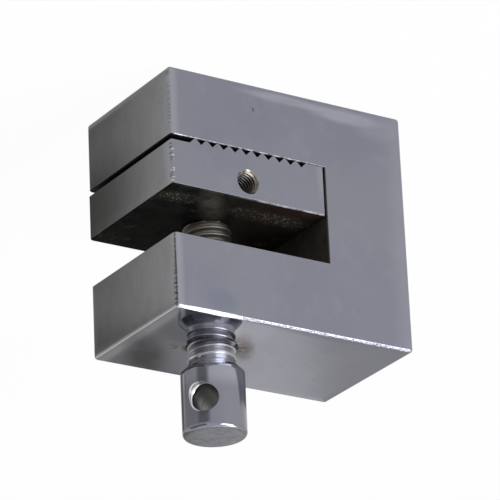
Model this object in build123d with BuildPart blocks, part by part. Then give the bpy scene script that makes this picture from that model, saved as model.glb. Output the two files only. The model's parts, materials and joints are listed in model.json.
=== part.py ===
"""Tensile test grip of the C-frame kind: a milled frame, a serrated jaw, the screw that drives
the jaw, and the set screw that keeps the jaw on the screw's nose.

The origin is on the back of the spine, at the mouth of the mounting thread, on the load line.
The load line runs along X, in the plane of the frame's gripping face. +X points out of the mouth
of the C, +Z points up along the clamp screw to its head, and the front side faces -Y. The grip
stands on the outer face of its fixed arm, with its jaw closed. Sizes are in millimetres.
"""

import os

from build123d import *

# Frame, one block of steel with a slot milled through it
slot_depth = 36.5
spine_thickness = 19.5
fixed_arm_thickness = 15.0
slot_height = 21.0
screw_arm_thickness = 16.0
frame_depth = 32.5
corner_round = 0.8
slot_edge_break = 0.2

# Mounting thread in the back of the spine, M8
mount_radius = 4.0
mount_depth = 13.0
mount_chamfer = 0.4
mount_drill_cone = 2.4

# Jaw, with V grooves in its gripping face and a relieved lip at the mouth
jaw_thickness = 10.8
jaw_edge_break = 0.3
tooth_pitch = 2.65
tooth_depth = 1.1
tooth_count = 10
relief_length = 4.35
closed_gap = 0.05
jaw_end_gap = 0.25
jaw_side_inset = 0.05

# Clamp screw, M10, turned from one bar
screw_from_mouth = 17.9
thread_radius = 5.0
thread_clearance = 0.05
thread_chamfer = 0.4
tapped_hole_chamfer = 0.4
exposed_thread = 3.9
neck_depth = 0.25
neck_length = 1.5
head_radius = 6.5
head_length = 15.0
head_round = 0.8
bar_hole_radius = 2.75
bar_hole_from_end = 6.3
bar_hole_angle = -41.0
bar_hole_break = 0.3

# Nose of the clamp screw, with a groove for the set screw's dog point
nose_radius = 3.5
nose_clearance = 0.05
nose_chamfer = 0.3
nose_rim = 1.05
nose_end_gap = 0.3
groove_depth = 1.2
groove_side_gap = 0.1
shoulder_gap = 0.02

# Set screw, M5 with a dog point and a hexagon socket
set_screw_from_back = 3.9
set_screw_radius = 2.5
set_screw_length = 8.0
set_screw_clearance = 0.02
set_screw_chamfer = 0.4
dog_radius = 1.75
dog_length = 2.5
dog_tip_gap = 0.2
socket_across_flats = 2.5
socket_depth = 2.6
cross_hole_chamfer = 0.15

# Levels and positions that follow from the sizes above
mouth_x = spine_thickness + slot_depth
frame_bottom = -fixed_arm_thickness
frame_top = slot_height + screw_arm_thickness
screw_x = mouth_x - screw_from_mouth
screw_axis = Axis((screw_x, 0, 0), (0, 0, 1))

jaw_tips = closed_gap
jaw_back = jaw_tips + jaw_thickness
jaw_inner_end = spine_thickness + jaw_end_gap
jaw_depth = frame_depth - 2 * jaw_side_inset
relief_end = mouth_x - relief_length
set_screw_z = jaw_back - set_screw_from_back

groove_half_width = dog_radius + groove_side_gap
groove_radius = nose_radius - groove_depth
nose_end = set_screw_z - groove_half_width - nose_rim
nose_bore_radius = nose_radius + nose_clearance
nose_bore_floor = nose_end - nose_end_gap
shoulder = jaw_back + shoulder_gap

neck_radius = thread_radius - neck_depth
head_start = frame_top + exposed_thread
head_bevel = head_radius - neck_radius
head_end = head_start + head_length
bar_hole_z = head_end - bar_hole_from_end
bar_direction = Vector(1, 0, 0).rotate(Axis.Z, bar_hole_angle)

dog_tip = -(groove_radius + dog_tip_gap)
dog_base = dog_tip - dog_length
set_screw_end = dog_tip - set_screw_length
shank_radius = set_screw_radius - set_screw_clearance

os.makedirs("parts", exist_ok=True)

# Frame: the C profile, seen from the front, carried through the depth
with BuildPart() as c_frame:
    with BuildSketch(Plane.XZ):
        with BuildLine():
            Polyline(
                (0, frame_bottom),
                (mouth_x, frame_bottom),
                (mouth_x, 0),
                (spine_thickness, 0),
                (spine_thickness, slot_height),
                (mouth_x, slot_height),
                (mouth_x, frame_top),
                (0, frame_top),
                close=True,
            )
        make_face()
    extrude(amount=frame_depth / 2, both=True)

    # The three walls of the slot are the faces centred inside it
    slot_walls = (
        c_frame.faces()
        .filter_by_position(Axis.X, spine_thickness, mouth_x)
        .filter_by_position(Axis.Y, -corner_round, corner_round)
        .filter_by_position(Axis.Z, 0, slot_height)
    )
    fillet(c_frame.edges() - slot_walls.edges(), radius=corner_round)

    # The slot's edges are only broken, apart from the two inner corners
    slot_walls = (
        c_frame.faces()
        .filter_by_position(Axis.X, spine_thickness, mouth_x)
        .filter_by_position(Axis.Y, -corner_round, corner_round)
        .filter_by_position(Axis.Z, 0, slot_height)
    )
    inner_corners = (
        slot_walls.edges()
        .filter_by(Axis.Y)
        .filter_by_position(Axis.X, 0, spine_thickness + corner_round)
    )
    chamfer(slot_walls.edges() - inner_corners, length=slot_edge_break)

    # Tapped hole for the clamp screw, through the screw arm, countersunk at both mouths
    with Locations((screw_x, 0, frame_top), Location((screw_x, 0, slot_height), (180, 0, 0))):
        CounterSinkHole(
            radius=thread_radius + thread_clearance,
            counter_sink_radius=thread_radius + thread_clearance + tapped_hole_chamfer,
            depth=screw_arm_thickness / 2 + tapped_hole_chamfer,
            counter_sink_angle=90,
        )

    # Mounting hole, with the cone that the drill leaves
    with BuildSketch(Plane.XZ):
        with BuildLine():
            Polyline(
                (0, 0),
                (0, mount_radius + mount_chamfer),
                (mount_chamfer, mount_radius),
                (mount_depth, mount_radius),
                (mount_depth + mount_drill_cone, 0),
                close=True,
            )
        make_face()
    revolve(axis=Axis.X, mode=Mode.SUBTRACT)

# Jaw: a block with its gripping face towards the fixed arm
with BuildPart() as moving_jaw:
    with BuildSketch(Plane.XZ):
        with BuildLine():
            Polyline(
                (jaw_inner_end, jaw_tips),
                (mouth_x, jaw_tips),
                (mouth_x, jaw_back),
                (jaw_inner_end, jaw_back),
                close=True,
            )
        make_face()
    extrude(amount=jaw_depth / 2, both=True)
    gripping_face = moving_jaw.faces().sort_by(Axis.Z)[0]
    chamfer(moving_jaw.edges() - gripping_face.edges(), length=jaw_edge_break)

    # Relief at the mouth, which ends in one more flank, then V grooves at 90 degrees
    with BuildSketch(Plane.XZ):
        with BuildLine():
            Polyline(
                (mouth_x, jaw_tips),
                (mouth_x, jaw_tips + tooth_depth),
                (relief_end, jaw_tips + tooth_depth),
                (relief_end - tooth_depth, jaw_tips),
                close=True,
            )
        make_face()
        grooves = [relief_end - n * tooth_pitch for n in range(1, tooth_count + 1)]
        with Locations(*[(x, jaw_tips) for x in grooves]):
            Polygon((-tooth_depth, 0), (tooth_depth, 0), (0, tooth_depth), align=None)
    extrude(amount=jaw_depth, both=True, mode=Mode.SUBTRACT)

    # Blind bore for the screw's nose, and the tapped cross hole that runs into it
    with Locations((screw_x, 0, jaw_back)):
        Hole(radius=nose_bore_radius, depth=jaw_back - nose_bore_floor)
    with Locations(Location((screw_x, -jaw_depth / 2, set_screw_z), (90, 0, 0))):
        CounterSinkHole(
            radius=set_screw_radius,
            counter_sink_radius=set_screw_radius + cross_hole_chamfer,
            depth=jaw_depth / 2,
            counter_sink_angle=90,
        )

# Clamp screw: half its turned outline, from the nose up to the head
with BuildPart() as clamp_screw:
    with BuildSketch(Plane.XZ.shift_origin((screw_x, 0, 0))):
        with BuildLine():
            Polyline(
                (0, nose_end),
                (nose_radius - nose_chamfer, nose_end),
                (nose_radius, nose_end + nose_chamfer),
                (nose_radius, set_screw_z - groove_half_width),
                (groove_radius, set_screw_z - groove_half_width),
                (groove_radius, set_screw_z + groove_half_width),
                (nose_radius, set_screw_z + groove_half_width),
                (nose_radius, shoulder),
                (thread_radius - thread_chamfer, shoulder),
                (thread_radius, shoulder + thread_chamfer),
                (thread_radius, head_start - neck_length - neck_depth),
                (neck_radius, head_start - neck_length),
                (neck_radius, head_start),
                (head_radius, head_start + head_bevel),
                (head_radius, head_end),
                (0, head_end),
                close=True,
            )
        make_face()
    revolve(axis=screw_axis)
    fillet(clamp_screw.edges().group_by(Axis.Z)[-1], radius=head_round)

    # Cross hole in the head for a tommy bar
    with BuildSketch(Plane((screw_x, 0, bar_hole_z), z_dir=bar_direction)):
        Circle(radius=bar_hole_radius)
    extrude(amount=2 * head_radius, both=True, mode=Mode.SUBTRACT)
    bar_hole_mouths = clamp_screw.edges(Select.LAST).filter_by(GeomType.LINE, reverse=True)
    chamfer(bar_hole_mouths, length=bar_hole_break)

# Set screw: half its outline, from the socket end to the tip of the dog point
with BuildPart() as set_screw:
    with BuildSketch(Plane.XY.offset(set_screw_z)):
        with BuildLine():
            Polyline(
                (screw_x, set_screw_end),
                (screw_x + shank_radius - set_screw_chamfer, set_screw_end),
                (screw_x + shank_radius, set_screw_end + set_screw_chamfer),
                (screw_x + shank_radius, dog_base - set_screw_chamfer),
                (screw_x + shank_radius - set_screw_chamfer, dog_base),
                (screw_x + dog_radius, dog_base),
                (screw_x + dog_radius, dog_tip),
                (screw_x, dog_tip),
                close=True,
            )
        make_face()
    revolve(axis=Axis((screw_x, 0, set_screw_z), (0, 1, 0)))

    # Hexagon socket in the end that faces the front
    with BuildSketch(Plane((screw_x, set_screw_end, set_screw_z), z_dir=(0, -1, 0))):
        RegularPolygon(radius=socket_across_flats / 2, side_count=6, major_radius=False)
    extrude(amount=-socket_depth, mode=Mode.SUBTRACT)

c_frame.part.label = "c_frame"
moving_jaw.part.label = "moving_jaw"
clamp_screw.part.label = "clamp_screw"
set_screw.part.label = "set_screw"

for piece in (c_frame, moving_jaw, clamp_screw, set_screw):
    export_step(piece.part, f"parts/{piece.part.label}.step")
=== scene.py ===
"""Looks of a tensile test grip: the threads, the finish of each piece, and a plain stage.

Everything is in metres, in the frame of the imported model: +Z up along the clamp screw, +X out of
the mouth of the C, and the front side faces -Y.
"""

import json
import math
from functools import cached_property

import bmesh
import bpy
import numpy as np
from bpy.props import FloatProperty, FloatVectorProperty, IntProperty, PointerProperty
from mathutils import Matrix, Vector


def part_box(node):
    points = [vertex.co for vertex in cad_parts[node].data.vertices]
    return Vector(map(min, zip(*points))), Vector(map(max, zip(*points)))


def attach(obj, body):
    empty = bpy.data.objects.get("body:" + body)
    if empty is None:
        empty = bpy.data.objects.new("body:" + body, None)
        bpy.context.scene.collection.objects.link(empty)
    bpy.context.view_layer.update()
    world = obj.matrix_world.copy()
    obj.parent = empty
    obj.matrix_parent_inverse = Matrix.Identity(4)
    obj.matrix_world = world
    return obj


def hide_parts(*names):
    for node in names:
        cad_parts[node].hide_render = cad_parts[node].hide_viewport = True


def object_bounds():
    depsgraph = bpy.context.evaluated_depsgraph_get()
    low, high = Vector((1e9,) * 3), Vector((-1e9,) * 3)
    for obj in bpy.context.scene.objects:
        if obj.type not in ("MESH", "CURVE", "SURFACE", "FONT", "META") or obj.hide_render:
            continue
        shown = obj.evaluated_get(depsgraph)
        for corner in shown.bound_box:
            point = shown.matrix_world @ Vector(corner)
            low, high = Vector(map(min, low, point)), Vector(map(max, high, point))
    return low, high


bl_info = {
    "name": "Tensile Test Grip",
    "version": (1, 0, 0),
    "blender": (4, 5, 0),
    "location": "View3D > Sidebar > Test Grip",
    "description": "Threads, finishes and stage for a C-frame tensile test grip",
    "category": "Object",
}

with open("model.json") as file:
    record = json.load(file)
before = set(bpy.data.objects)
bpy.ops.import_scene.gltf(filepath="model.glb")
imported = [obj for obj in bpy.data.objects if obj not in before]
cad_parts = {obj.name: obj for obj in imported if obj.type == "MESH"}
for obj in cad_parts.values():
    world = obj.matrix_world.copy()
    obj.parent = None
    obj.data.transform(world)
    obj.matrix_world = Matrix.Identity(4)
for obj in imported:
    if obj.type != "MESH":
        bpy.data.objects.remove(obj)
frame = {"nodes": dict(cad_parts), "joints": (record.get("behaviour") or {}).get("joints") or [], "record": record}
cad_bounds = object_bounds()

MM = 0.001

body_low, body_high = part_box("c_frame")
jaw_low, jaw_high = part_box("moving_jaw")
screw_low, screw_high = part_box("clamp_screw")
pin_low, pin_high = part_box("set_screw")
screw_x = (screw_low.x + screw_high.x) / 2
pin_z = (pin_low.z + pin_high.z) / 2
mounts = {mount["name"]: mount for mount in frame["record"]["mounts"]}
mount_radius = mounts["load_mount"]["dims"]["r_mm"] * MM
bar_direction = Vector(mounts["tommy_bar_hole"]["axis"]).normalized()
bar_z = mounts["tommy_bar_hole"]["pos_m"][2]
bar_radius = mounts["tommy_bar_hole"]["dims"]["r_mm"] * MM

# The screw arm's face towards the jaw is the jaw's back at the end of its travel, and a small gap
jaw_travel = next(joint for joint in frame["joints"] if joint["name"] == "jaw_travel")
arm_low = jaw_high.z + jaw_travel["range_m"][1] + 0.15 * MM

# The slot's inner wall lies a small gap behind the jaw's inner end
spine_face = jaw_low.x - 0.25 * MM

# Faces that carry marks: their axis, their level on it, and how deep a mark on them reaches
FRONT_FACE = (1, body_low.y, 2 * MM)
TOP_FACE = (2, body_high.z, 4 * MM)
JAW_FRONT = (1, jaw_low.y, 2 * MM)
JAW_BACK = (2, jaw_high.z, 2 * MM)


def length_value(name, description, millimetres):
    return FloatProperty(name=name, description=description, default=millimetres * MM,
                         unit="LENGTH")


def angle_value(name, description, radians):
    return FloatProperty(name=name, description=description, default=radians, subtype="ANGLE")


def amount_value(name, description, value, highest=100.0):
    return FloatProperty(name=name, description=description, default=value, min=0, max=highest)


def colour_value(name, description, value):
    return FloatVectorProperty(name=name, description=description, subtype="COLOR", size=3,
                               default=value, min=0, max=1)


def place_value(name, description, place):
    return FloatVectorProperty(name=name, description=description, subtype="TRANSLATION", size=3,
                               default=place, unit="LENGTH")


class GripThreads(bpy.types.PropertyGroup):
    """Sizes of the threads and of the turned screw."""

    clamp_crest: length_value("Clamp crest", "Radius over the crests of the clamp thread", 4.97)
    clamp_root: length_value("Clamp root", "Radius at the roots of the clamp thread", 4.10)
    clamp_pitch: length_value("Clamp pitch", "Rise of the clamp screw for one turn", 1.5)
    clamp_start: amount_value("Clamp start", "Share of a turn by which its thread is moved", 0.175, 1)
    thread_gap: length_value("Thread gap", "Radial gap between the clamp thread and its hole", 0.07)
    arm_drill: length_value("Arm drill", "Radius of the drilled core of the clamp screw's hole", 4.19)
    arm_wall: length_value("Arm wall", "Radius of the plain wall of the clamp screw's hole", 5.05)
    arm_chamfer: length_value("Arm countersink", "Width of the countersinks of that hole", 0.4)
    cross_pitch: length_value("Cross pitch", "Pitch of the thread in the jaw", 0.8)
    cross_drill: length_value("Cross drill", "Radius of the drilled core of the jaw's hole", 2.07)
    cross_wall: length_value("Cross wall", "Radius of the plain wall of the jaw's hole", 2.5)
    cross_chamfer: length_value("Cross countersink", "Width of the jaw's countersink", 0.15)
    mount_pitch: length_value("Mount pitch", "Pitch of the mounting thread", 1.25)
    mount_drill: length_value("Mount drill", "Radius of the drilled core of the mount", 3.32)
    mount_depth: length_value("Mount depth", "Depth of the mounting thread", 12.9)
    mount_chamfer: length_value("Mount countersink", "Width of the mount's countersink", 0.4)
    neck: length_value("Neck", "Radius of the screw just below its head", 4.75)
    neck_length: length_value("Neck length", "Length of the plain neck below the head", 0.9)
    neck_round: length_value("Neck rounding", "Size of the rounding between neck and head", 0.25)
    head_length: length_value("Head length", "Length of the screw's head with its bevel", 15.0)
    head_round: length_value("Head rounding", "Radius of the edge round the head's end", 0.8)
    bevel_round: length_value("Bevel rounding", "Size of the rounding between bevel and head", 0.2)
    bar_hole_lip: length_value("Bar hole lip", "Radius of the broken edge of the cross hole", 0.25)
    bar_hole_wear: length_value("Bar hole wear", "Extra width of that edge where most worn", 1.15)
    bar_hole_worn_at: angle_value("Worn place", "Angle of the most worn place about the hole", -0.78)
    bar_hole_scrape: length_value("Bar hole scrape", "Extra width along the scraped side", 0.28)
    bar_hole_scraped_at: angle_value("Scraped side", "Angle of the scraped side's middle", 0.25)
    nose: length_value("Nose", "Radius of the screw's nose inside the jaw", 3.5)
    nose_chamfer: length_value("Nose chamfer", "Width of the chamfer round the nose", 0.3)
    nose_groove: length_value("Nose groove", "Radius at the floor of the groove", 2.3)
    nose_groove_half: length_value("Nose groove half width", "Half the width of the groove", 1.85)
    shoulder_gap: length_value("Shoulder gap", "Gap between the jaw's back and the shoulder", 0.02)
    columns: IntProperty(
        name="Columns", description="Points round each turned piece", default=128, min=32)
    rows_per_turn: IntProperty(
        name="Rows a turn", description="Rows of points along each turn of a thread",
        default=18, min=8)


def unit(vector):
    return vector / np.linalg.norm(vector)


class Turned:
    """A turned surface round an axis. Points come from P = O + s A + r (cos t U + sin t V)."""

    def __init__(self, origin, axis, start):
        self.origin = np.array(origin, float)
        self.axis = unit(np.array(axis, float))
        self.start = unit(np.array(start, float))
        self.side = np.cross(self.axis, self.start)

    def points(self, along, radius, turn):
        """P for arrays of places along the axis, radii and angles, which are broadcast."""
        along, radius, turn = np.broadcast_arrays(along, radius, turn)
        outward = np.cos(turn)[..., None] * self.start + np.sin(turn)[..., None] * self.side
        return self.origin + along[..., None] * self.axis + radius[..., None] * outward

    def revolve(self, outline, columns):
        """The outline, pairs of place and radius, carried round the axis in equal steps."""
        outline = np.array(outline, float)
        return self.points(outline[:, 0, None], outline[:, 1, None], full_turn(columns)[None, :])

    def thread(self, first, last, pitch, profile, low, high, sizes):
        """A helical surface from s = first to s = last. Row j and column t lie at
        s = clip(first - pitch + pitch (j / rows + t / 2 pi), first, last), and the radius is
        the profile of the phase s / pitch - t / 2 pi, kept between low(s) and high(s). Its rows
        follow the helix, and those beyond an end gather on it."""
        turn = full_turn(sizes.columns)
        rows = sizes.rows_per_turn
        count = int(math.ceil((last - first) / pitch + 2)) * rows
        steps = np.arange(count + 1)[:, None] / rows + turn[None, :] / (2 * np.pi)
        along = np.clip(first - pitch + pitch * steps, first, last)
        phase = (along - first) / pitch - turn / (2 * np.pi)
        radius = np.clip(profile(phase), low(along), high(along))
        return self.points(along, radius, turn[None, :])


def full_turn(columns):
    return np.linspace(0, 2 * np.pi, columns + 1)


def thread_profile(crest, root, start=0.0, crest_share=0.16, root_share=0.22, softness=0.55):
    """Radius over the phase u of a thread with 60 degree flanks. With w = |2 frac(u - start) - 1|,
    which is 1 at the crest and 0 at the root, the radius is root + (crest - root) h, where h is w
    between the flat shares of root and crest, mixed with the smooth step 3h^2 - 2h^3."""

    def radius(phase):
        w = np.abs(2 * ((phase - start) % 1) - 1)
        h = np.clip((w - root_share) / (1 - root_share - crest_share), 0, 1)
        h = h + softness * (3 * h**2 - 2 * h**3 - h)
        return root + (crest - root) * h

    return radius


def joined_mesh(name, grids, sharp_degrees=35):
    """One closed mesh from grids of points, each rows x columns x 3. Grid cell (i, j) is a quad of
    its four points. Points that meet are merged and the faces are turned outwards."""
    points, quads, start = [], [], 0
    for grid in grids:
        points.append(grid.reshape(-1, 3))
        quads.append(grid_quads(grid) + start)
        start += len(points[-1])
    mesh = bpy.data.meshes.new(name)
    mesh.from_pydata(np.concatenate(points), [], np.concatenate(quads))
    form = bmesh.new()
    form.from_mesh(mesh)
    bmesh.ops.remove_doubles(form, verts=form.verts, dist=0.002 * MM)
    bmesh.ops.dissolve_degenerate(form, dist=0.001 * MM, edges=form.edges)
    bmesh.ops.recalc_face_normals(form, faces=form.faces)
    form.to_mesh(mesh)
    form.free()
    mesh.shade_smooth()
    mesh.set_sharp_from_angle(angle=math.radians(sharp_degrees))
    return mesh


def grid_quads(grid):
    """The four point numbers of each cell of a grid."""
    rows, columns = grid.shape[:2]
    index = np.arange(rows * columns).reshape(rows, columns)
    corners = (index[:-1, :-1], index[1:, :-1], index[1:, 1:], index[:-1, 1:])
    return np.stack(corners, -1).reshape(-1, 4)


def add_piece(name, mesh, material, body):
    """A finished piece at the origin, riding on its body."""
    piece = bpy.data.objects.new(name, mesh)
    bpy.context.scene.collection.objects.link(piece)
    mesh.materials.append(material)
    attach(piece, body)
    return piece


def lip_width(sizes, worn, scraped):
    """Width of the tommy bar hole's edge. With the cosines w and s of the angles from the most worn
    place and from the middle of the scraped side, it is lip + wear w^6 + scrape s^2."""
    return (worn ** 6.0 * sizes.bar_hole_wear + scraped ** 2.0 * sizes.bar_hole_scrape
            + sizes.bar_hole_lip)


def head_wall(turned, radius, first, last, sizes, margin=1.15, window_rows=20, bore_rows=12):
    """The head's round wall with the tommy bar hole at turn 0 and half a turn on. Away from the
    hole it is a plain grid, which leaves out a window round each mouth. The bore joins the two
    mouths by straight lines."""
    half = bar_radius + margin * lip_width(sizes, 1, 1)
    half_columns = int(math.ceil(math.asin(half / radius) / (2 * math.pi / sizes.columns)))
    window = np.linspace(bar_z - half, bar_z + half, window_rows + 1)
    below = np.linspace(first, window[0], 5)
    above = np.linspace(window[-1], last, 4)
    turn = full_turn(sizes.columns)
    between = turn[half_columns:sizes.columns // 2 - half_columns + 1]
    grids = [turned.points(below[:, None], radius, turn[None, :]),
             turned.points(above[:, None], radius, turn[None, :]),
             turned.points(window[:, None], radius, between[None, :]),
             turned.points(window[:, None], radius, between[None, :] + np.pi)]
    across = radius * np.sin(turn[:half_columns + 1])
    border = window_border(np.concatenate([-across[:0:-1], across]), window - bar_z)
    mouths = bar_hole_mouths(turned, radius, border, sizes)
    share = np.linspace(0, 1, bore_rows + 1)[:, None, None]
    bore = mouths[0][-1] * (1 - share) + mouths[1][-1] * share
    return grids + mouths + [bore]


def window_border(across, rise):
    """A rectangle of points, once round, in the flat coordinates b, across the wall, and z."""
    sides = (np.stack([across, np.full_like(across, rise[0])], 1)[:-1],
             np.stack([np.full_like(rise, across[-1]), rise], 1)[:-1],
             np.stack([across[::-1], np.full_like(across, rise[-1])], 1)[:-1],
             np.stack([np.full_like(rise, across[0]), rise[::-1]], 1))
    return np.concatenate(sides)


def bar_hole_mouths(turned, radius, border, sizes, ray_rows=5, lip_rows=8, lip_depth=0.75):
    """The two mouths of the tommy bar hole. Rays at the angle f about its axis run from the
    window's border to the lip: their points are mixed in b = radius sin t and z, and lie on the
    wall at the depth a = sqrt(radius^2 - b^2). The lip is a quarter of an ellipse, lip_width wide
    and lip_depth of that deep."""
    ray = np.arctan2(border[:, 1], border[:, 0])
    circle = np.stack([np.cos(ray), np.sin(ray)], 1)
    worn, scraped = (np.clip(np.cos(ray - place), 0, 1)
                     for place in (sizes.bar_hole_worn_at, sizes.bar_hole_scraped_at))
    lip = lip_width(sizes, worn, scraped)
    share = np.linspace(0, 1, ray_rows)[:, None, None]
    rays = border * (1 - share) + circle * (bar_radius + lip)[:, None] * share
    bend = np.linspace(np.pi / 2, 0, lip_rows + 1)[1:, None]
    reach = bar_radius + lip * (1 - np.cos(bend))
    flat = np.concatenate([rays, circle * reach[..., None]])
    sink = np.concatenate([np.zeros(rays.shape[:2]), lip_depth * lip * (1 - np.sin(bend))])
    depth = np.sqrt(radius**2 - flat[..., 0]**2) - sink
    return [turned.origin + side * depth[..., None] * turned.start + flat[..., :1] * turned.side
            + (flat[..., 1:] + bar_z) * turned.axis for side in (1, -1)]


class GRIP_OT_clamp_screw(bpy.types.Operator):
    """Turned clamp screw with its helical thread, neck, head and tommy bar hole"""

    bl_idname = "grip.clamp_screw"
    bl_label = "Clamp screw"

    def execute(self, context):
        sizes = context.scene.grip_threads
        radius = (screw_high.x - screw_low.x) / 2
        head_start = screw_high.z - sizes.head_length
        turned = Turned((screw_x, 0, 0), (0, 0, 1), bar_direction)
        neck = self.neck_outline(sizes, head_start, radius)
        end = self.end_outline(sizes, radius)
        grids = [turned.revolve(self.nose_outline(sizes), sizes.columns),
                 self.thread(turned, sizes, neck[0][0]),
                 turned.revolve(neck, sizes.columns), turned.revolve(end, sizes.columns)]
        grids += head_wall(turned, radius, neck[-1][0], end[0][0], sizes)
        mesh = joined_mesh("clamp_screw_turned", grids)
        material = turned_steel(context.scene.grip_finishes, sizes)
        piece = add_piece("clamp_screw_turned", mesh, material, "screw")
        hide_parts("clamp_screw")
        return {"FINISHED"}

    def lead(self, sizes, slope=2.2):
        """The shoulder's height, and the thread's lead-in: a cone that starts below the roots."""
        shoulder = jaw_high.z + sizes.shoulder_gap
        foot = sizes.clamp_root - 0.1 * MM
        return shoulder, lambda along: foot + (along - shoulder) * slope

    def nose_outline(self, sizes):
        """The nose, with the groove for the set screw, up to the foot of the thread."""
        shoulder, lead = self.lead(sizes)
        groove_low = pin_z - sizes.nose_groove_half
        groove_high = pin_z + sizes.nose_groove_half
        return [(screw_low.z, 0), (screw_low.z, sizes.nose - sizes.nose_chamfer),
                (screw_low.z + sizes.nose_chamfer, sizes.nose),
                (groove_low, sizes.nose), (groove_low, sizes.nose_groove),
                (groove_high, sizes.nose_groove), (groove_high, sizes.nose),
                (shoulder, sizes.nose), (shoulder, lead(shoulder))]

    def thread(self, turned, sizes, last, runout_turns=1.3, fall_slope=0.8):
        """The clamp thread. Its roots rise to the neck over the run-out, and its crests start on the
        lead-in and fall to the neck at the end."""
        shoulder, lead = self.lead(sizes)
        runout = runout_turns * sizes.clamp_pitch

        def root_limit(along):
            rise = np.clip((along - last + runout) / runout, 0, 1)
            return np.minimum(sizes.clamp_root + (sizes.neck - sizes.clamp_root) * rise, lead(along))

        def crest_limit(along):
            fall = sizes.neck + (last - along) * fall_slope
            return np.minimum(np.minimum(lead(along), fall), sizes.clamp_crest)

        profile = thread_profile(sizes.clamp_crest, sizes.clamp_root, sizes.clamp_start)
        return turned.thread(shoulder, last, sizes.clamp_pitch, profile, root_limit, crest_limit,
                             sizes)

    def neck_outline(self, sizes, head_start, radius):
        """The neck and the head's bevel, with the roundings before and after the bevel."""
        step = sizes.neck_round
        soft = sizes.bevel_round
        bevel_end = head_start + radius - sizes.neck
        return [(head_start - sizes.neck_length, sizes.neck), (head_start - step, sizes.neck),
                (head_start, sizes.neck + 0.4 * step),
                (head_start + step, sizes.neck + 1.2 * step),
                (bevel_end - soft, radius - soft), (bevel_end - 0.2 * soft, radius - 0.25 * soft),
                (bevel_end + 0.6 * soft, radius)]

    def end_outline(self, sizes, radius):
        """The rounded edge of the head's end, a quarter circle, and the flat end."""
        bend = np.linspace(0, np.pi / 2, 9)
        flat = radius - sizes.head_round
        edge = [(screw_high.z - sizes.head_round * (1 - math.sin(a)),
                 flat + sizes.head_round * math.cos(a)) for a in bend]
        return edge + [(screw_high.z, share * flat) for share in (0.75, 0.5, 0.25, 0)]


class GRIP_OT_tapped_holes(bpy.types.Operator):
    """Helical walls of the three tapped holes: screw arm, jaw and mounting hole"""

    bl_idname = "grip.tapped_holes"
    bl_label = "Tapped holes"

    def execute(self, context):
        sizes = context.scene.grip_threads
        steel = cut_steel(context.scene.grip_finishes)

        # Screw arm: in step with the clamp screw, so that the two never meet
        clamp = thread_profile(sizes.clamp_crest, sizes.clamp_root, sizes.clamp_start)
        step = (arm_low - jaw_high.z - sizes.shoulder_gap) / sizes.clamp_pitch
        arm = Turned((screw_x, 0, 0), (0, 0, 1), bar_direction)
        grids = self.lining(
            arm, arm_low, body_high.z, sizes.arm_wall, sizes.arm_chamfer, sizes.clamp_pitch,
            lambda phase: np.maximum(clamp(phase + step) + sizes.thread_gap, sizes.arm_drill),
            sizes, both_mouths=True)
        self.line("screw_arm_thread", grids, steel, "frame", "plated_steel")

        # Jaw: from its front face down to the set screw's end
        cross = Turned((screw_x, 0, pin_z), (0, 1, 0), (1, 0, 0))
        grids = self.lining(
            cross, jaw_low.y, pin_low.y - 0.1 * MM, sizes.cross_wall, sizes.cross_chamfer,
            sizes.cross_pitch, thread_profile(sizes.cross_wall, sizes.cross_drill), sizes)
        self.line("jaw_cross_thread", grids, steel, "jaw", "jaw_steel")

        # Mounting hole in the back of the spine
        back = Turned((0, 0, 0), (1, 0, 0), (0, 1, 0))
        grids = self.lining(
            back, 0, sizes.mount_depth, mount_radius, sizes.mount_chamfer, sizes.mount_pitch,
            thread_profile(mount_radius, sizes.mount_drill), sizes)
        self.line("mount_thread", grids, steel, "frame", "plated_steel")
        return {"FINISHED"}

    def line(self, name, grids, material, body, slot):
        add_piece(name, joined_mesh(name, grids), material, body)

    def lining(self, turned, first, last, wall, chamfer, pitch, profile, sizes, both_mouths=False):
        """A closed lining of a plain hole: the helical wall, cut back by the countersink's cone at
        45 degrees from each open mouth, and a skin just behind the plain wall."""
        skin = wall + 0.01 * MM
        inner = wall - 0.005 * MM
        foot = first + chamfer
        end = last - chamfer if both_mouths else last

        def cone(along):
            near = wall + chamfer - (along - first)
            far = wall + chamfer - (last - along) if both_mouths else 0
            return np.minimum(np.maximum(near, far), inner)

        thread = turned.thread(foot, end, pitch, profile, cone,
                               lambda along: np.full_like(along, inner), sizes)
        rings = [np.stack([row, turned.points(place, skin, full_turn(sizes.columns))])
                 for row, place in ((thread[0], foot), (thread[-1], end))]
        outside = turned.revolve([(foot, skin), (end, skin)], sizes.columns)
        return [thread, *rings, outside]


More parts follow.
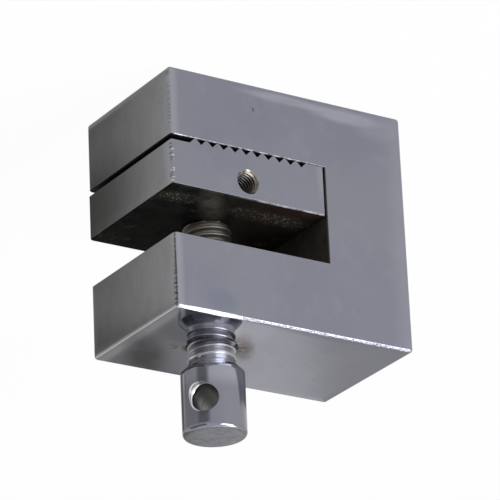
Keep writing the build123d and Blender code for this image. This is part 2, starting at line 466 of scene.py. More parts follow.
class GripFinishes(bpy.types.PropertyGroup):
    """Colours and polish of the pieces."""

    plate: colour_value("Plate", "Colour of the plated steel", (0.234, 0.238, 0.282))
    warm_plate: colour_value("Dull plate", "Colour of the duller plate", (0.250, 0.250, 0.232))
    pale_plate: colour_value("Pale plate", "Colour of its paler clouds", (0.288, 0.291, 0.326))
    # Bright plate, also painted as sheen and highlights where the faces would mirror bright light
    bright_plate_and_sheen: colour_value("Bright plate", "Best polished places", (0.345, 0.350, 0.390))
    # A painted highlight on the tommy bar hole's worn edge
    lip_highlight: colour_value("Worn steel", "Colour of bare worn steel", (0.86, 0.86, 0.86))
    # Painted shade: a dark patch on the top face, the bore's lower wall and deep in the tapped holes
    shade: colour_value("Shade", "Dark smear on the top face", (0.035, 0.035, 0.036))
    blue_shade: colour_value("Blue shade", "Bluish patch on the front", (0.19, 0.215, 0.27))
    pit: colour_value("Pits", "Colour of pits and dents", (0.055, 0.055, 0.075))
    stain: colour_value("Stain", "Colour of the brown stains", (0.115, 0.095, 0.078))
    # These two slot colours are a dull film of oil and dust, and also painted shade of the slot
    grime_and_shade: colour_value("Grime", "Darkest film in the slot", (0.006, 0.006, 0.0055))
    film_and_shade: colour_value("Film", "Palest film in the slot", (0.015, 0.015, 0.012))
    # Paler film on the spine, and also a painted reflection of the screw on the jaw's back
    thin_film_and_sheen: colour_value("Thin film", "Film on the spine and the screw's mirror image",
                            (0.095, 0.080, 0.064))
    rust: colour_value("Rust", "Brown film towards the spine", (0.020, 0.012, 0.008))
    # Bright chips, and also a painted highlight along the top face's edge at the mouth
    chip_and_sheen: colour_value("Chips", "Bright chips and the rubbed thread", (0.60, 0.60, 0.62))
    crust: colour_value("Crust", "Jaw's back round the specks", (0.045, 0.045, 0.032))
    speckle: colour_value("Speckle", "Pale specks on the jaw's back", (0.26, 0.26, 0.18))
    oil: colour_value("Oil", "Oil in the thread's roots", (0.10, 0.097, 0.085))
    bore: colour_value("Bore", "Wall of the tommy bar hole", (0.24, 0.24, 0.22))
    dull_end: colour_value("Dull end", "Spots on the screw's end", (0.165, 0.165, 0.168))
    brown_steel: colour_value("Brown steel", "Thread inside the slot", (0.29, 0.26, 0.21))
    cut: colour_value("Cut steel", "Colour of the tapped holes", (0.24, 0.22, 0.17))
    oxide: colour_value("Black oxide", "Colour of the set screw", (0.02, 0.02, 0.022))
    polish: amount_value("Polish", "Roughness of the polished faces", 0.10, 1)
    bevel: length_value("Bevel", "How deep the worn flat cuts into the rounded edges", 0.40)


def arithmetic(operation, reflected=False):
    """A method that adds the Math node for an operation on a Value and another value or number."""

    def method(self, other):
        first, second = (other, self) if reflected else (self, other)
        return self.look.node("ShaderNodeMath", {"operation": operation}, {0: first, 1: second})

    return method


class Value:
    """An output of a shader node. Python's operators on it add Math nodes."""

    def __init__(self, look, socket):
        self.look = look
        self.socket = socket

    __add__ = __radd__ = arithmetic("ADD")
    __sub__ = arithmetic("SUBTRACT")
    __rsub__ = arithmetic("SUBTRACT", reflected=True)
    __mul__ = __rmul__ = arithmetic("MULTIPLY")
    __truediv__ = arithmetic("DIVIDE")
    __pow__ = arithmetic("POWER")
    least = arithmetic("MINIMUM")
    most = arithmetic("MAXIMUM")

    def clip(self):
        """The value kept from 0 to 1."""
        return self.look.node("ShaderNodeMath", {"operation": "ADD", "use_clamp": True},
                              {0: self, 1: 0.0})

    def between(self, low, high):
        """0 below low, 1 above high, smooth in between. With low above high it falls."""
        return self.look.node(
            "ShaderNodeMapRange", {"interpolation_type": "SMOOTHSTEP"},
            {"Value": self, "From Min": low, "From Max": high})

    def rise(self, low, high, level=0.0):
        """The same for a place, with low and high in millimetres above a level in metres."""
        return self.between(level + low * MM, level + high * MM)


def distance(first, second, place):
    """Distance from a place in the plane of two coordinates: sqrt((a - p)^2 + (b - q)^2)."""
    return ((first - place[0]) ** 2.0 + (second - place[1]) ** 2.0) ** 0.5


class Look:
    """One material, or the world, built node by node on Object coordinates. While it is built it
    keeps the colour, the roughness and the height in millimetres that it has so far."""

    def __init__(self, owner):
        owner.use_nodes = True
        self.tree = owner.node_tree
        self.tree.nodes.clear()

    def node(self, kind, settings=None, inputs=None, output=0):
        """Any shader node: its type, its settings, and the values or links of its sockets."""
        made = self.tree.nodes.new(kind)
        for name, value in (settings or {}).items():
            setattr(made, name, value)
        for name, value in (inputs or {}).items():
            if isinstance(value, Value):
                self.tree.links.new(value.socket, made.inputs[name])
            elif made.inputs[name].type == "RGBA":
                made.inputs[name].default_value = (*value[:3], 1)
            else:
                made.inputs[name].default_value = value
        return Value(self, made.outputs[output])

    @cached_property
    def where(self):
        return self.node("ShaderNodeTexCoord", output="Object")

    @cached_property
    def axes(self):
        """The Object coordinates along X, Y and Z."""
        parted = self.node("ShaderNodeSeparateXYZ", None, {"Vector": self.where}).socket.node
        return [Value(self, part) for part in parted.outputs]

    def place(self, scale, turn=(0, 0, 0)):
        """Object coordinates, turned and stretched."""
        return self.node("ShaderNodeMapping", {"vector_type": "TEXTURE"},
                         {"Vector": self.where, "Rotation": turn, "Scale": [1 / s for s in scale]})

    def noise(self, size, detail=4.0, roughness=0.55, scale=(1, 1, 1), turn=(0, 0, 0), warp=0.0):
        """Cloudy noise from 0 to 1 whose largest forms are about size metres wide."""
        return self.node("ShaderNodeTexNoise", None,
                         {"Vector": self.place(scale, turn), "Scale": 1 / size, "Detail": detail,
                          "Roughness": roughness, "Distortion": warp})

    def rings(self, along, size):
        """Noise from 0 to 1 along one coordinate, as a lathe or a drill leaves it."""
        return self.node("ShaderNodeTexNoise", {"noise_dimensions": "1D"},
                         {"W": along, "Scale": 1 / size, "Detail": 3.0})

    def cells(self, size, scale=(1, 1, 1)):
        """Distance to the nearest of points scattered about size metres apart, over size."""
        return self.node("ShaderNodeTexVoronoi", None,
                         {"Vector": self.place(scale), "Scale": 1 / size})

    def spot(self, face, middle, radii, soft=0.6, lean=0.0):
        """1 inside an ellipse on a face, falling to 0 over the soft share of its radii. Its middle
        and radii are in millimetres along the face's two axes. With a lean, its middle moves along
        X by that share of the distance along Y."""
        axis, level, depth = face
        centre = [place * MM for place in middle]
        reach = [radius * MM for radius in radii]
        centre.insert(axis, level)
        reach.insert(axis, depth)
        x, y, z = self.axes
        parts = (x - (y - centre[1]) * lean, y, z)
        squares = [((part - place) / radius) ** 2.0
                   for part, place, radius in zip(parts, centre, reach)]
        return ((squares[0] + squares[1] + squares[2]) ** 0.5).between(1 + soft, 1 - soft)

    def from_screw(self):
        """Distance from the clamp screw's axis."""
        return distance(self.axes[0], self.axes[1], (screw_x, 0.0))

    def face_distances(self, low, high):
        """Distances from the nearer of a block's two faces across each axis."""
        return [(axis - bottom).least(top - axis)
                for axis, bottom, top in zip(self.axes, low, high)]

    def edge_distance(self, low, high):
        """Distance of a point on a block's faces from the nearest edge: of its distances from the
        block's three pairs of faces, one is 0, and this is the lesser of the other two."""
        first, second, third = self.face_distances(low, high)
        return first.least(second).most(first.most(second).least(third))

    def worn_bevel(self, low, high, cut):
        """How deep a flat bevel at 45 degrees cuts below the rounded edges of a block, in metres:
        for each pair of faces, cut minus the sum of the distances from both over sqrt 2."""
        first, second, third = self.face_distances(low, high)
        nearest = (first + second).least(second + third).least(first + third)
        return (cut - nearest * math.sqrt(0.5)).most(0.0)

    def mix(self, share, first, second):
        """first where share is 0, second where it is 1; both are colours."""
        return self.node("ShaderNodeMix", {"data_type": "RGBA", "clamp_factor": True},
                         {0: share, 6: first, 7: second}, 2)

    def paint(self, share, colour):
        """Another colour over the one so far, where share is 1."""
        self.colour = self.mix(share, self.colour, colour)

    def press(self, dented, chipped, finish, bright, shine):
        """Dark dents and bright chips, both a little below the surface."""
        self.paint(dented * 0.75, finish.pit)
        self.paint(chipped * shine, bright)
        self.height = self.height - (dented + chipped) * 0.02

    def bump(self):
        """Normals of the height so far."""
        return self.node("ShaderNodeBump", None,
                         {"Strength": 1.0, "Distance": MM, "Height": self.height})

    def surface(self, colour, roughness, bump=None, metallic=1.0, shine=0.5):
        """A metal surface or, with metallic 0, a dull film with some shine: oil and dust, which in the slot is
        also painted shade.
        """
        inputs = {"Base Color": colour, "Roughness": roughness, "Metallic": metallic,
                  "Specular IOR Level": shine}
        if bump is not None:
            inputs["Normal"] = bump
        return self.node("ShaderNodeBsdfPrincipled", None, inputs)

    def cover(self, share, under, over):
        """The shader over lies on the shader under where share is 1."""
        return self.node("ShaderNodeMixShader", None, {0: share, 1: under, 2: over})

    def glow(self, kind, colour, strength=1.0):
        """A plain light of its own, from a surface or from the world."""
        return self.node(kind, None, {"Color": colour, "Strength": strength})

    def ray(self, kind):
        """1 for one kind of ray, otherwise 0."""
        return self.node("ShaderNodeLightPath", output=f"Is {kind} Ray")

    def output(self, shader, kind="ShaderNodeOutputMaterial"):
        self.tree.links.new(shader.socket, self.tree.nodes.new(kind).inputs["Surface"])


def new_look(name):
    material = bpy.data.materials.new(name)
    return material, Look(material)


def dents(look, corner, spacing):
    """Small dark dents in a row beside an upright front edge, on the side of the mouth."""
    y, z = look.axes[1:]
    reach = look.noise(1.2 * MM, 2, scale=(0.1, 0.1, 1)) * (1.6 * MM)
    strip = y.rise(0.10, 0.30, corner) * (y - (corner + 0.2 * MM) - reach).rise(0.2, -0.2)
    row = look.node("ShaderNodeTexVoronoi", {"voronoi_dimensions": "1D"},
                    {"W": z, "Scale": 1 / spacing, "Randomness": 0.85})
    gaps = look.noise(2.4 * MM, 2, scale=(0.2, 0.2, 1)).between(0.38, 0.54)
    return strip * row.between(0.32, 0.16) * gaps


def chips(look, corner, spacing):
    """Small bright chips on an upright front edge itself."""
    x, y = look.axes[:2]
    edge = distance(x, y, corner).rise(0.75, 0.45)
    marks = look.cells(spacing, scale=(0.5, 0.5, 1.3)).between(0.38, 0.20)
    gaps = look.noise(2.3 * MM, 2, scale=(0.3, 0.3, 1)).between(0.40, 0.54)
    return edge * marks * gaps


def polished(look, finish, low, high):
    """What all polished faces share: clouds of paler and of duller, warmer tones, fine grain, a few
    long scratches and edges that the polishing has rolled over."""
    clouds = look.noise(13 * MM, 3, 0.5)
    wide_clouds = look.noise(22 * MM, 2, 0.5)
    blotches = look.noise(4.5 * MM, 4, 0.6, warp=0.6)
    grain = look.noise(0.5 * MM, 4, 0.7)
    drawn = look.noise(1.1 * MM, 5, 0.75, scale=(0.06, 1, 1.3), turn=(0, 0.2, 0))
    scratches = drawn.between(0.66, 0.74)
    look.colour = look.mix(clouds.between(0.30, 0.72) * 0.12, finish.plate, finish.warm_plate)
    look.paint(wide_clouds.between(0.38, 0.62) * 0.30, finish.pale_plate)
    look.paint(blotches.between(0.50, 0.72) * 0.32, finish.pale_plate)
    look.roughness = finish.polish + (clouds - 0.5) * 0.06 + grain * 0.05 + scratches * 0.10
    rolled = look.edge_distance(low, high).rise(0, 2.4)
    look.height = rolled * 0.030 + clouds * 0.022 + blotches * 0.006 + grain * 0.0012


def mouth_end(look, finish, high):
    """An end that faces out of the mouth, which is duller, warmer and mottled. Gives the end's
    share and its mottle."""
    mouth = look.axes[0].rise(-0.5, -0.1, high.x)
    mottle = look.noise(2.6 * MM, 5, 0.7, scale=(1, 1, 0.5)).between(0.35, 0.7)
    look.paint(mouth * (mottle * 0.3 + 0.6), finish.warm_plate)
    look.paint(mouth * mottle * 0.14, finish.pit)
    look.roughness = look.roughness + mouth * 0.05
    return mouth, mottle


def plated_steel(finish):
    """Polished plate of the frame: cloudy, with pits, worn front edges and stains at the screw."""
    material, look = new_look("polished_plate")
    polished(look, finish, body_low, body_high)
    worn_edges(look, finish)
    front_face(look, finish)
    mouth, mottle = mouth_end(look, finish, body_high)
    top_face(look, finish)
    frame_marks(look, finish, mouth)
    slot, film_and_shade = slot_film_and_shade(look, finish, mottle)
    bump = look.bump()
    under = look.surface(look.colour, look.roughness, bump)
    look.output(look.cover(slot, under, look.surface(film_and_shade, 0.5, bump, metallic=0.0, shine=0.08)))
    return material


def worn_edges(look, finish):
    """The frame's rounded edges are worn flat, raggedly, and wider beside the screw."""
    x = look.axes[0]
    ragged = look.noise(0.42 * MM, 2, 0.6, scale=(1, 0.3, 0.3))
    wide = x.rise(36, 46) * x.rise(57.5, 51)
    cut = (ragged * (1 - wide * 0.8) * (0.32 * MM) + wide * (0.22 * MM)
           - x.rise(54, 56) * (0.15 * MM) + (finish.bevel - 0.20 * MM))
    look.height = look.height - look.worn_bevel(body_low, body_high, cut) * (1 / MM)


def front_face(look, finish):
    """Front of the frame: a painted sheen along the fixed arm's outer edge and along the upright edges,
    a painted sheen on the end at the mouth that is lighter towards the front, and a bluish patch on the screw arm."""
    x, y = look.axes[:2]
    front = y.rise(1.2, 0.2, body_low.y)
    painted_smudge = look.noise(5 * MM, 3, 0.6, scale=(0.5, 1, 1.4)).between(0.35, 0.62)
    # Painted sheen: a paler band where the front face would mirror the bright floor near the fixed arm's outer
    # edge
    sweep = (look.spot(FRONT_FACE, (29.0, -13.1), (9.5, 0.9), 0.5)
             + look.spot(FRONT_FACE, (14.5, -12.4), (7.5, 1.4), 0.5)
             + look.spot(FRONT_FACE, (6.0, -11.7), (4.5, 2.6)) * 0.45).clip()
    look.paint(front * sweep * (painted_smudge * 0.35 + 0.65), finish.bright_plate_and_sheen)
    # Painted sheen along the upright edges, and on the end at the mouth, lighter towards the front
    rim = front * (x.rise(53.6, 55.3) * 0.75 + x.rise(5.5, 0.8) * 0.35)
    beside = x.rise(-0.5, -0.1, body_high.x) * y.rise(4, 0.8, body_low.y) * 0.55
    look.paint((rim + beside).clip(), finish.bright_plate_and_sheen)
    bluish = look.spot(FRONT_FACE, (45.5, 34.0), (3.4, 2.2), 0.5)
    look.paint(front * bluish * 0.55, finish.blue_shade)


def top_face(look, finish):
    """Top of the screw arm: stains round the tapped hole, a painted highlight along the mouth's edge, painted
    shade beside it, and in front of the screw a clear place that mirrors it, with a painted reflection there."""
    x, z = look.axes[::2]
    top = z.rise(-0.5, -0.1, body_high.z)
    ragged = look.noise(2.2 * MM, 5, 0.65, warp=0.5)
    ring = look.from_screw().rise(7.6, 5.8) * ragged.between(0.44, 0.56)
    brown = look.spot(TOP_FACE, (33.0, -3.6), (2.3, 5.2), lean=-0.60)
    dark = look.spot(TOP_FACE, (45.2, 2.4), (3.2, 2.0), 0.7)
    stains = (ring * 0.4 + brown * (ragged.between(0.20, 0.60) * 0.5 + 0.3)
              + dark * ragged.between(0.35, 0.60) * 0.9).clip()
    look.paint(top * stains, finish.stain)
    look.roughness = look.roughness + top * stains * 0.2

    # Painted highlight along the top face's edge at the mouth
    look.paint(top * x.rise(-4.5, -1.5, body_high.x), finish.bright_plate_and_sheen)
    look.paint(top * x.rise(-3.2, -1.6, body_high.x) * 0.6, finish.chip_and_sheen)
    # Painted shade: a dark patch beside that edge, where the top face mirrors something dark
    painted_smudge = look.spot(TOP_FACE, (47.8, 9.5), (4.2, 8.5), 0.7, -0.55)
    patchy = look.noise(6 * MM, 3, 0.6).between(0.25, 0.55) * 0.4 + 0.6
    look.paint(top * painted_smudge * patchy * 0.88, finish.shade)

    clear = look.spot(TOP_FACE, (43.0, -9.0), (11.0, 9.0), 0.3)
    # Painted reflection: the plate in front of the screw is painted brighter, so that its mirror image of the
    # screw shows brighter
    painted_sheen = look.spot(TOP_FACE, (45.5, -10.8), (6.4, 6.2), 0.45, -0.60)
    look.roughness = look.roughness * (1 - top * clear * 0.75)
    look.paint(top * painted_sheen * 0.9, finish.bright_plate_and_sheen)


def frame_marks(look, finish, mouth):
    """Dents and chips along the frame's upright front edge, one pit and fine pinholes."""
    z = look.axes[2]
    dented = dents(look, body_low.y, 0.9 * MM) * mouth * (z.rise(23.5, 33) + z.rise(-1, -3) * 0.4)
    chipped = chips(look, (body_high.x - 0.2 * MM, body_low.y + 0.2 * MM), 0.8 * MM)
    pit = look.spot(FRONT_FACE, (36.3, -9.3), (0.28, 0.5), 0.5)
    pinholes = look.cells(3.1 * MM).between(0.055, 0.03)
    marks = (dented + pit * 0.7 + pinholes * 0.45).clip()
    look.press(marks, chipped, finish, finish.bright_plate_and_sheen, 0.8)


def slot_film_and_shade(look, finish, mottle):
    """Share and colour of the dull dark film in the slot, which is also painted shade of the slot. It is
    paler on the spine and worn off in places along the fixed arm's front edge."""
    x, y, z = look.axes
    inside = x.rise(-0.25, -0.10, spine_face) * z.rise(-0.22, -0.16) * z.rise(0.16, 0.08, arm_low)
    bare = (look.noise(1.6 * MM, 4, 0.6, scale=(1, 0.2, 0.2)).between(0.40, 0.62) * 0.45
            + x.rise(50, 54) * 0.35)
    edge = z.rise(-0.04, -0.10) * y.rise(0.25, 0.18, body_low.y)
    # Near-black film: oil and dust, and also painted shade of the slot
    film_and_shade = look.mix(mottle, finish.grime_and_shade, finish.film_and_shade)
    film_and_shade = look.mix(x.rise(0.4, 0.1, spine_face) * (mottle * 0.3 + 0.35), film_and_shade, finish.thin_film_and_sheen)
    return inside * (1 - edge * bare), film_and_shade


def jaw_plate(finish):
    """Plate of the jaw: polished on its sides, with a paler wedge at its inner end, a painted sheen on
    its end at the mouth towards the front, painted shade between its teeth, and a dark film with painted shade and
    specks on its back."""
    material, look = new_look("jaw_plate")
    x, y, z = look.axes
    polished(look, finish, jaw_low, jaw_high)
    mouth = mouth_end(look, finish, jaw_high)[0]
    # Painted sheen on the end at the mouth, lighter towards the front
    look.paint(mouth * y.rise(4, 0.8, jaw_low.y) * 0.45, finish.bright_plate_and_sheen)
    dented = dents(look, jaw_low.y - 0.1 * MM, 0.75 * MM) * mouth * 0.8
    chipped = chips(look, (jaw_high.x, jaw_low.y), 0.75 * MM)
    look.press(dented, chipped, finish, finish.chip_and_sheen, 1.0)
    wedge = look.spot(JAW_FRONT, (jaw_low.x / MM, 1.0), (1.6, 6.5), 0.5)
    look.paint(wedge * 0.5, finish.bright_plate_and_sheen)
    # Painted shade: the dark film also covers the grooves between the teeth
    grooves = (z.rise(1.35, 1.05) * y.rise(0.05, 0.3, jaw_low.y) * y.rise(-0.05, -0.3, jaw_high.y)
               * x.rise(-0.05, -0.3, jaw_high.x))
    back, tone, specks = jaw_back(look, finish)
    look.height = look.height + specks * 0.05
    bump = look.bump()
    under = look.surface(look.colour, look.roughness, bump)
    film_and_shade = look.surface(tone, specks * 0.2 + 0.50, bump, metallic=0.0, shine=0.015)
    look.output(look.cover((back + grooves).clip(), under, film_and_shade))
    return material


def jaw_back(look, finish):
    """Share and colour of the film on the jaw's back, and the share of its specks. The film is dark and
    greenish, and also painted shade of the slot; it is brown towards the spine, painted paler as a painted
    reflection where it would mirror the screw, worn off in places along the front edge, and has crusts of pale
    specks."""
    x, y, z = look.axes
    back = z.rise(-0.32, -0.26, jaw_high.z)
    edge = z.rise(-0.04, -0.12, jaw_high.z)
    bare = ((look.noise(1.8 * MM, 4, 0.6, scale=(1, 0.2, 0.2)).between(0.30, 0.75) * 0.5 + 0.10)
            * x.rise(46, 24) * y.rise(0.40, 0.28, jaw_low.y))
    ragged = look.noise(4 * MM, 5, 0.65, warp=0.4)
    tone = look.mix(ragged.between(0.38, 0.62), finish.film_and_shade, finish.grime_and_shade)
    tone = look.mix(x.rise(44, 30) * 0.7, tone, finish.rust)
    # Painted reflection: a paler film where the jaw's back would mirror the screw's glow
    screw_reflection = look.spot(JAW_BACK, (42.8, -9.5), (2.4, 6.0), 0.8, -0.60)
    tone = look.mix(screw_reflection * ragged.between(0.25, 0.60) * 0.85, tone, finish.thin_film_and_sheen)
    crust = (look.spot(JAW_BACK, (51.5, -10.8), (4.2, 2.0))
             + look.spot(JAW_BACK, (29.0, -10.0), (10.0, 2.2)) * 0.8
             + look.noise(5 * MM, 2).between(0.58, 0.72) * 0.6).clip()
    tone = look.mix(crust * 0.35, tone, finish.crust)
    specks = (look.cells(0.50 * MM).between(0.45, 0.15) * look.noise(0.8 * MM, 2).between(0.40, 0.58)
              * crust * back)
    return back * (1 - edge * bare * 0.7), look.mix(specks, tone, finish.speckle), specks


def turned_steel(finish, sizes):
    """Turned and plated bar of the clamp screw: bright, with rings left by the lathe, oil in the
    thread's roots, brown where it stays inside the slot, and a dull bore."""
    material, look = new_look("turned_bar")
    clouds = look.noise(5 * MM, 4, 0.6)
    grain = look.noise(0.4 * MM, 4, 0.7, scale=(1, 1, 3))
    look.colour = look.mix(clouds.between(0.35, 0.7) * 0.4, finish.plate, finish.warm_plate)
    look.roughness = finish.polish * 0.8 + clouds * 0.06 + grain * 0.05
    look.height = clouds * 0.006 + grain * 0.001
    screw_end(look, finish)
    screw_thread(look, finish)
    bore, wall = bar_hole(look, finish, sizes)
    bump = look.bump()
    under = look.surface(look.colour, look.roughness, bump)
    look.output(look.cover(bore, under, look.surface(wall, 0.38, bump)))
    return material


def screw_end(look, finish):
    """End face of the head: mottled, with faint rings."""
    end = look.axes[2].rise(-0.25, -0.08, screw_high.z)
    mottle = look.noise(1.5 * MM, 5, 0.7).between(0.40, 0.66)
    look.paint(end * 0.25, finish.bright_plate_and_sheen)
    look.paint(end * mottle * 0.75, finish.dull_end)
    look.roughness = look.roughness + end * 0.16
    look.height = look.height + end * look.rings(look.from_screw(), 0.35 * MM) * 0.003


def screw_thread(look, finish):
    """Neck and thread: bright and rubbed dull, oily in the roots, and brown inside the slot."""
    z = look.axes[2]
    shank = z.rise(-14.2, -14.6, screw_high.z)
    roots = z.rise(-15.9, -16.2, screw_high.z) * look.from_screw().rise(4.85, 4.35)
    inside = z.rise(24, 21)
    look.paint(z.rise(-8, -11.5, screw_high.z) * 0.9, finish.bright_plate_and_sheen)
    look.paint(shank * 0.60, finish.chip_and_sheen)
    look.paint(roots * 0.34, finish.oil)
    look.paint(inside * 0.75, finish.brown_steel)
    look.roughness = look.roughness + shank * 0.15 + roots * 0.05 + inside * 0.16


def bar_hole(look, finish, sizes):
    """Tommy bar hole: a painted highlight on its edge, which the bar has worn. Gives the share and the
    colour of the bore, which has rings from the drill and painted shade lower down."""
    x, y, z = look.axes
    side = bar_direction.cross(Vector((0, 0, 1)))
    across = (x - screw_x) * side.x + y * side.y
    along = (x - screw_x) * bar_direction.x + y * bar_direction.y
    apart = distance(across, z, (0.0, bar_z))
    cosines = [(((z - bar_z) * math.sin(angle) - across * math.cos(angle)) / apart).most(0.0)
               for angle in (sizes.bar_hole_worn_at, sizes.bar_hole_scraped_at)]
    edge = lip_width(sizes, *cosines) + bar_radius
    # Painted highlight on the hole's worn edge
    painted_sheen = (edge - apart).rise(0, 0.25) * across.rise(-0.8, -1.3) * z.rise(-5, -4.9, bar_z)
    look.paint(painted_sheen, finish.lip_highlight)
    wall = look.mix(look.rings(along, 0.9 * MM).between(0.35, 0.65), finish.oil, finish.bore)
    wall = look.mix(z.rise(-0.8, -2.4, bar_z) * 0.9, wall, finish.shade)
    return apart.rise(0.12, 0.02, bar_radius), wall


def cut_steel(finish):
    """Bare steel of the tapped holes, oily and a little brown, with painted shade away from the front."""
    material, look = new_look("tapped_steel")
    fine = look.noise(0.8 * MM, 5, 0.6)
    deep = look.axes[1].rise(0.3, 2.4, jaw_low.y)
    look.colour = look.mix(fine.between(0.4, 0.65), finish.cut, finish.stain)
    # Painted shade deeper in the holes
    look.paint(deep * 0.9, finish.shade)
    look.output(look.surface(look.colour, fine * 0.15 + 0.27))
    return material


def black_oxide(finish):
    """Black oxide of the set screw."""
    material, look = new_look("black_oxide")
    look.output(look.surface(finish.oxide, look.noise(0.5 * MM, 5, 0.6) * 0.2 + 0.35))
    return material


class GRIP_OT_finishes(bpy.types.Operator):
    """Finish of the frame, the jaw and the set screw, which keep their meshes"""

    bl_idname = "grip.finishes"
    bl_label = "Finishes"

    def execute(self, context):
        dressed = (("c_frame", plated_steel, "plated_steel"), ("moving_jaw", jaw_plate, "jaw_steel"),
                   ("set_screw", black_oxide, "black_steel"))
        for name, material, slot in dressed:
            node = frame["nodes"][name]
            node.data.materials.clear()
            node.data.materials.append(material(context.scene.grip_finishes))
        return {"FINISHED"}


class GripStage(bpy.types.PropertyGroup):
    """Floor, cards, lights and camera."""

    floor: colour_value("Floor", "Colour of the floor", (0.8, 0.8, 0.8))
    far_card: amount_value("Far card", "Radiance of the card behind, in reflections", 0.36)
    left_card: amount_value("Left card", "Radiance of the card behind on the left", 0.60)
    right_card: amount_value("Right card", "Radiance of the card on the right", 0.32)
    # Painted shade on the floor that only reflections see, standing in for shade and for the grip's shadow
    dark_mat: colour_value("Dark mats", "Colour of the mats in reflections", (0.086, 0.082, 0.068))
    gloss_share: amount_value("Gloss share", "Share of the floor that reflections see as white",
                              0.5, 1)
    white_share: amount_value("White share", "Share of the floor that a camera sees as white",
                              0.97, 1)
    world_light: amount_value("World light", "Strength of the light from all round", 0.33)
    key_light: amount_value("Key light", "Radiance of the soft lamp at the front left", 6.0)
    top_light: amount_value("Top light", "Radiance of the soft lamp overhead", 1.5)
    side_light: amount_value("Side light", "Radiance of the lamp that the bevels show", 5.0)
    daylight: colour_value("Daylight", "Colour of the key light", (0.86, 0.88, 1.0))
    camera_place: place_value("Camera", "Place of the camera", (0.42375, -0.59871, 0.31608))
    camera_aim: place_value("Aim", "Where the camera looks", (0.02919, -0.00211, 0.01471))
    camera_roll: angle_value("Roll", "Roll of the camera, which shows the grip with its head down",
                             math.radians(177.374))
    lens: amount_value("Lens", "Focal length on a 36 mm wide sensor, in millimetres", 275.2, 1000)


def aimed(place, aim, roll=0.0):
    """Matrix of a lamp or camera at a place that looks at a point, rolled about its view."""
    place, aim = Vector(place), Vector(aim)
    look_along = (aim - place).to_track_quat("-Z", "Y").to_matrix().to_4x4()
    return Matrix.Translation(place) @ look_along @ Matrix.Rotation(roll, 4, "Z")


def around(centre, azimuth, elevation, reach):
    """The point at a distance from a centre, with its azimuth from +X and its elevation given in
    degrees."""
    turn, rise = math.radians(azimuth), math.radians(elevation)
    flat = reach * math.cos(rise)
    return centre + Vector((flat * math.cos(turn), flat * math.sin(turn), reach * math.sin(rise)))


def softbox(name, place, aim, width, height, radiance, tint):
    """A rectangular lamp whose surface has the given radiance."""
    lamp = bpy.data.lights.new(name, "AREA")
    lamp.shape = "RECTANGLE"
    lamp.size, lamp.size_y = width, height
    lamp.energy = radiance * math.pi * width * height
    lamp.color = tint
    holder = bpy.data.objects.new(name, lamp)
    holder.matrix_world = aimed(place, aim)
    holder.visible_camera = False
    bpy.context.scene.collection.objects.link(holder)


def stage_grid(name, x, y, z, material, hidden=True):
    """A grid of points as a stage object, which if hidden shows only in reflections."""
    grid = np.stack(np.broadcast_arrays(x, y, z), -1)
    mesh = bpy.data.meshes.new(name)
    mesh.from_pydata(grid.reshape(-1, 3), [], grid_quads(grid))
    mesh.materials.append(material)
    card = bpy.data.objects.new(name, mesh)
    bpy.context.scene.collection.objects.link(card)
    card.visible_camera = not hidden
    card.visible_shadow = not hidden


def card_look(look, stage, dark):
    """A pale card, dark where the given share is 1, which a camera and reflections see partly as
    plain white, so that it keeps the object's shadow but no hard falloff."""
    card = look.node("ShaderNodeBsdfDiffuse", None,
                     {"Color": look.mix(dark, stage.floor, stage.dark_mat)})
    white = look.glow("ShaderNodeEmission", look.mix(dark, (1, 1, 1), stage.dark_mat))
    share = ((look.ray("Camera") + look.ray("Transmission")) * stage.white_share
             + look.ray("Glossy") * stage.gloss_share)
    look.output(look.cover(share.clip(), card, white))


def mats_share(look):
    """Where the mats are dark, as painted shade on the floor that only reflections see: in front on the
    right, fainter at the side, dark again behind, and, as a painted shadow of the grip, along the way in which the
    ends at the mouth mirror the floor."""
    x, y = look.axes[:2]
    azimuth = look.node("ShaderNodeMath", {"operation": "ARCTAN2"}, {0: y, 1: x - screw_x})
    reach = look.from_screw()

    def sector(rise, fall):
        """1 between two azimuths about the screw, each with where it starts and ends."""
        return (azimuth.between(*np.radians(rise).tolist())
                * azimuth.between(*np.radians(fall).tolist()))

    # Painted shade in reflections: dark sectors of the mats round the screw
    soft = (sector((-50, -32), (8, -10)) * reach.rise(85, 100) * 0.80
            + sector((-10, 8), (76, 56)) * reach.rise(130, 142) * 0.42
            + sector((70, 80), (110, 96)) * reach.rise(125, 132) * 0.85) * reach.rise(220, 200)
    # Painted shadow: dark where the ends at the mouth would mirror the grip's shadow on the floor
    ahead = x - body_high.x
    start = y - ahead * 1.526
    shifted = start - ahead.rise(36, 48) * (6 * MM)
    mirrored = (shifted.rise(-18, 16) * start.rise(46, 30) * (ahead.rise(6, 20) * 0.30 + 0.60)
                * (ahead.rise(46, 36) * 0.28 + 0.72) * ahead.rise(80, 66))
    return (soft + mirrored).clip()


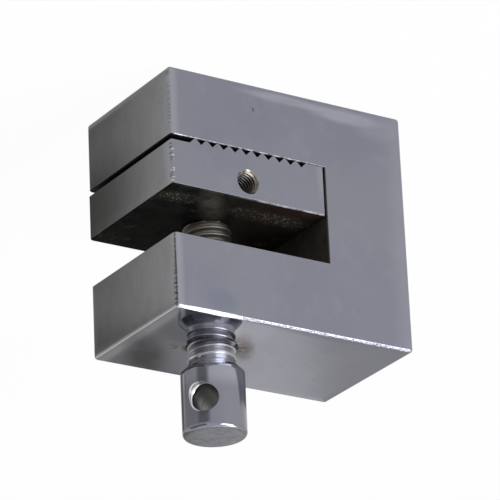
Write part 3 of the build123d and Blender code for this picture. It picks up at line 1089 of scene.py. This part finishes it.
class GRIP_OT_stage(bpy.types.Operator):
    """Pale floor, soft lights, white background and the camera"""

    bl_idname = "grip.stage"
    bl_label = "Stage"

    def execute(self, context):
        stage = context.scene.grip_stage
        self.floor(stage)
        self.cards(stage)
        self.mats(stage)
        self.world(stage)
        self.lamps(stage)
        self.camera(stage)
        context.scene.view_settings.view_transform = "Standard"
        return {"FINISHED"}

    def floor(self, stage, half_width=3.0):
        reach = np.linspace(-half_width, half_width, 9)
        material, look = new_look("floor_card")
        card_look(look, stage, 0.0)
        stage_grid("floor", reach[:, None], reach[None, :], cad_bounds[0].z, material, hidden=False)

    def cards(self, stage, reach=1.5, lowest=0.02, highest=1.5):
        """Tall cards far away: two behind, which leave a bright slit between them, and one on the
        right. Each spans two azimuths about the screw, in degrees."""
        for name, first, last, radiance in (("far_card", 70, 122.6, stage.far_card),
                                            ("left_card", 125.2, 165, stage.left_card),
                                            ("right_card", -28, 40, stage.right_card)):
            material, look = new_look(name)
            look.output(look.glow("ShaderNodeEmission", (1, 1, 0.98), radiance))
            turn = np.radians(np.linspace(first, last, 33))[:, None]
            height = np.linspace(lowest, highest, 5)[None, :]
            stage_grid(name, screw_x + reach * np.cos(turn), reach * np.sin(turn), height, material)

    def mats(self, stage):
        """Two mats just above the floor. Each spans a range of X and one of Y, in millimetres."""
        material, look = new_look("mats")
        card_look(look, stage, mats_share(look))
        height = cad_bounds[0].z + 0.5 * MM
        for name, across, beside in (("right_mat", (57, 260), (-180, 225)),
                                     ("rear_mat", (-20, 57), (110, 225))):
            x = np.linspace(*across, 5)[:, None] * MM
            y = np.linspace(*beside, 5)[None, :] * MM
            stage_grid(name, x, y, height, material)

    def world(self, stage):
        world = bpy.data.worlds.new("studio")
        bpy.context.scene.world = world
        look = Look(world)
        fill = look.glow("ShaderNodeBackground", (1, 1, 1), stage.world_light)
        white = look.glow("ShaderNodeBackground", (1, 1, 1))
        seen = (look.ray("Camera") + look.ray("Glossy") + look.ray("Transmission")).clip()
        look.output(look.cover(seen, fill, white), "ShaderNodeOutputWorld")

    def lamps(self, stage):
        """Each lamp: what it lights, its azimuth, elevation and distance from there, its width and
        height, its radiance and its colour."""
        middle = Vector((0.028, 0, 0.02))
        corner = Vector((0.044, -0.016, 0.037))
        plain = (1, 1, 1)
        for name, aim, azimuth, elevation, reach, width, height, radiance, tint in (
                ("key_lamp", middle, -107, 34, 1.0, 0.73, 0.61, stage.key_light, stage.daylight),
                ("side_lamp", corner, -142, 50, 0.30, 0.13, 0.13, stage.side_light, plain),
                ("top_lamp", middle, 170, 74, 0.60, 0.26, 0.26, stage.top_light, plain)):
            place = around(aim, azimuth, elevation, reach)
            softbox(name, place, aim, width, height, radiance, tint)

    def camera(self, stage):
        lens = bpy.data.cameras.new("camera")
        lens.sensor_width = 36.0
        lens.lens = stage.lens
        lens.clip_start = 0.01
        lens.clip_end = 20.0
        camera = bpy.data.objects.new("camera", lens)
        camera.matrix_world = aimed(stage.camera_place, stage.camera_aim, stage.camera_roll)
        bpy.context.scene.collection.objects.link(camera)
        bpy.context.scene.camera = camera


class GRIP_PT_panel(bpy.types.Panel):
    """Buttons and values of the grip, in the 3D view's sidebar"""

    bl_label = "Test Grip"
    bl_idname = "GRIP_PT_panel"
    bl_space_type = "VIEW_3D"
    bl_region_type = "UI"
    bl_category = "Test Grip"

    def draw(self, context):
        layout = self.layout
        for operator in operators:
            layout.operator(operator.bl_idname)
        for group in (context.scene.grip_threads, context.scene.grip_finishes,
                      context.scene.grip_stage):
            box = layout.box()
            for name in group.bl_rna.properties.keys():
                if name not in ("rna_type", "name"):
                    box.prop(group, name)


operators = (GRIP_OT_clamp_screw, GRIP_OT_tapped_holes, GRIP_OT_finishes, GRIP_OT_stage)
groups = (GripThreads, GripFinishes, GripStage)


def register():
    for shown in groups + operators + (GRIP_PT_panel,):
        bpy.utils.register_class(shown)
    bpy.types.Scene.grip_threads = PointerProperty(type=GripThreads)
    bpy.types.Scene.grip_finishes = PointerProperty(type=GripFinishes)
    bpy.types.Scene.grip_stage = PointerProperty(type=GripStage)


def unregister():
    del bpy.types.Scene.grip_stage
    del bpy.types.Scene.grip_finishes
    del bpy.types.Scene.grip_threads
    for shown in reversed(groups + operators + (GRIP_PT_panel,)):
        bpy.utils.unregister_class(shown)


def main():
    register()
    bpy.ops.grip.clamp_screw()
    bpy.ops.grip.tapped_holes()
    bpy.ops.grip.finishes()
    bpy.ops.grip.stage()


if __name__ == "__main__":
    main()
